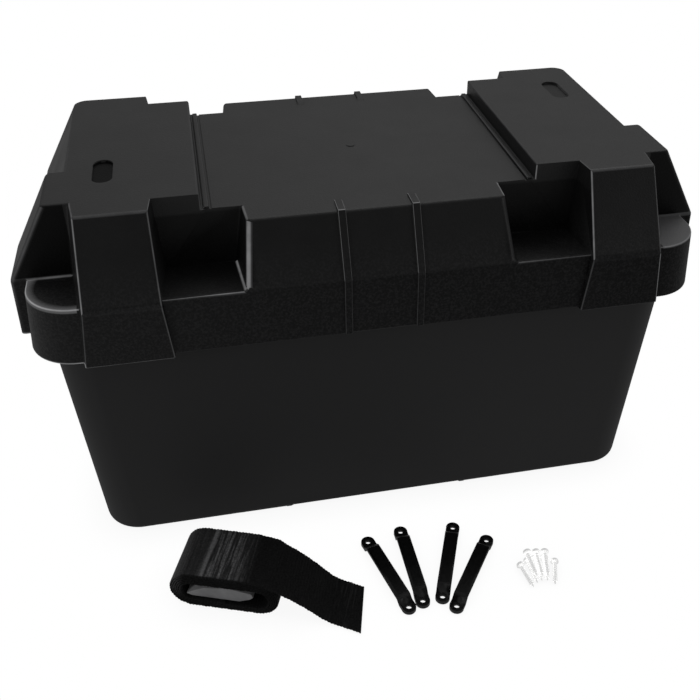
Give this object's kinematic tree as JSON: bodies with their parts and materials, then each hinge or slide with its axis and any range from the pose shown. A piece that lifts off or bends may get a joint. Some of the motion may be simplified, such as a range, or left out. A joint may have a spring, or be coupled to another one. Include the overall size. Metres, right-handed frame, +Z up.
{
  "type": "battery box with deep cycle battery",
  "caption": "Vented black battery box with lift-off lid, deep cycle battery inside, and its loose hold-down strap, loops and screws laid out in front.",
  "frame": {"origin": "centre of the tub's footprint, on the plane of its foot pads", "axes": "+X along the box's length to the right, +Y towards its back, +Z up"},
  "size_m": [0.45, 0.329, 0.2556],
  "materials": {
    "tub_plastic": "smooth black polypropylene",
    "lid_plastic": "black polypropylene with a fine moulded grain",
    "webbing": "ribbed black webbing",
    "buckle_plastic": "dark grey moulded plastic",
    "loop_plastic": "black moulded nylon",
    "screw_steel": "bright zinc plate",
    "case_plastic": "charcoal polypropylene",
    "cover_plastic": "charcoal polypropylene",
    "vent_plastic": "black polypropylene",
    "seal_rubber": "moulded rubber",
    "lead_oxide": "dark brown positive plate paste in a lead grid",
    "lead_grey": "dull cast lead",
    "separator_sheet": "off-white microporous sheet",
    "stainless": "stainless steel"
  },
  "bodies": {
    "base": {"base_tub": "tub_plastic"},
    "lid": {"lid_shell": "lid_plastic"},
    "battery": {"battery_case": "case_plastic", "battery_cover": "cover_plastic", "vent_seals": "seal_rubber", "positive_plates": "lead_oxide", "negative_plates": "lead_grey", "plate_separators": "separator_sheet", "cell_links": "lead_grey", "positive_terminal": "lead_grey", "negative_terminal": "lead_grey", "positive_stud": "stainless", "negative_stud": "stainless", "positive_washer": "stainless", "negative_washer": "stainless"},
    "vent_left": {"vent_cap_left": "vent_plastic"},
    "vent_right": {"vent_cap_right": "vent_plastic"},
    "positive_nut": {"positive_wing_nut": "stainless"},
    "negative_nut": {"negative_wing_nut": "stainless"},
    "strap": {"strap_webbing": "webbing", "strap_buckle": "buckle_plastic"},
    "loop_1": {"tie_down_loop_1": "loop_plastic"},
    "loop_2": {"tie_down_loop_2": "loop_plastic"},
    "loop_3": {"tie_down_loop_3": "loop_plastic"},
    "loop_4": {"tie_down_loop_4": "loop_plastic"},
    "screws": {"mounting_screws": "screw_steel"}
  },
  "joints": [
    {"name": "lid_lift", "type": "slide", "parent": "base", "child": "lid", "axis": [0, 0, 1], "range_m": [0, 0.4]},
    {"name": "battery_lift", "type": "slide", "parent": "base", "child": "battery", "axis": [0, 0, 1], "range_m": [0, 0.2]},
    {"name": "left_vent_lift", "type": "slide", "parent": "battery", "child": "vent_left", "axis": [0, 0, 1], "range_m": [0, 0.04]},
    {"name": "right_vent_lift", "type": "slide", "parent": "battery", "child": "vent_right", "axis": [0, 0, 1], "range_m": [0, 0.04]},
    {"name": "positive_nut_spin", "type": "hinge", "parent": "battery", "child": "positive_nut", "pos_m": [-0.104, -0.045, 0.2], "axis": [0, 0, 1], "continuous": true},
    {"name": "negative_nut_spin", "type": "hinge", "parent": "battery", "child": "negative_nut", "pos_m": [0.104, -0.045, 0.2], "axis": [0, 0, 1], "continuous": true},
    {"name": "strap_lift", "type": "slide", "parent": "base", "child": "strap", "axis": [0, 0, 1], "range_m": [0, 0.12]},
    {"name": "loop_1_lift", "type": "slide", "parent": "base", "child": "loop_1", "axis": [0, 0, 1], "range_m": [0, 0.08]},
    {"name": "loop_2_lift", "type": "slide", "parent": "base", "child": "loop_2", "axis": [0, 0, 1], "range_m": [0, 0.08]},
    {"name": "loop_3_lift", "type": "slide", "parent": "base", "child": "loop_3", "axis": [0, 0, 1], "range_m": [0, 0.08]},
    {"name": "loop_4_lift", "type": "slide", "parent": "base", "child": "loop_4", "axis": [0, 0, 1], "range_m": [0, 0.08]},
    {"name": "screws_lift", "type": "slide", "parent": "base", "child": "screws", "axis": [0, 0, 1], "range_m": [0, 0.08]}
  ],
  "couplings": [
    {"joint": "battery_lift", "follows": "lid_lift", "ratio": 0.5},
    {"joint": "left_vent_lift", "follows": "lid_lift", "ratio": 0.1},
    {"joint": "right_vent_lift", "follows": "lid_lift", "ratio": 0.1}
  ]
}
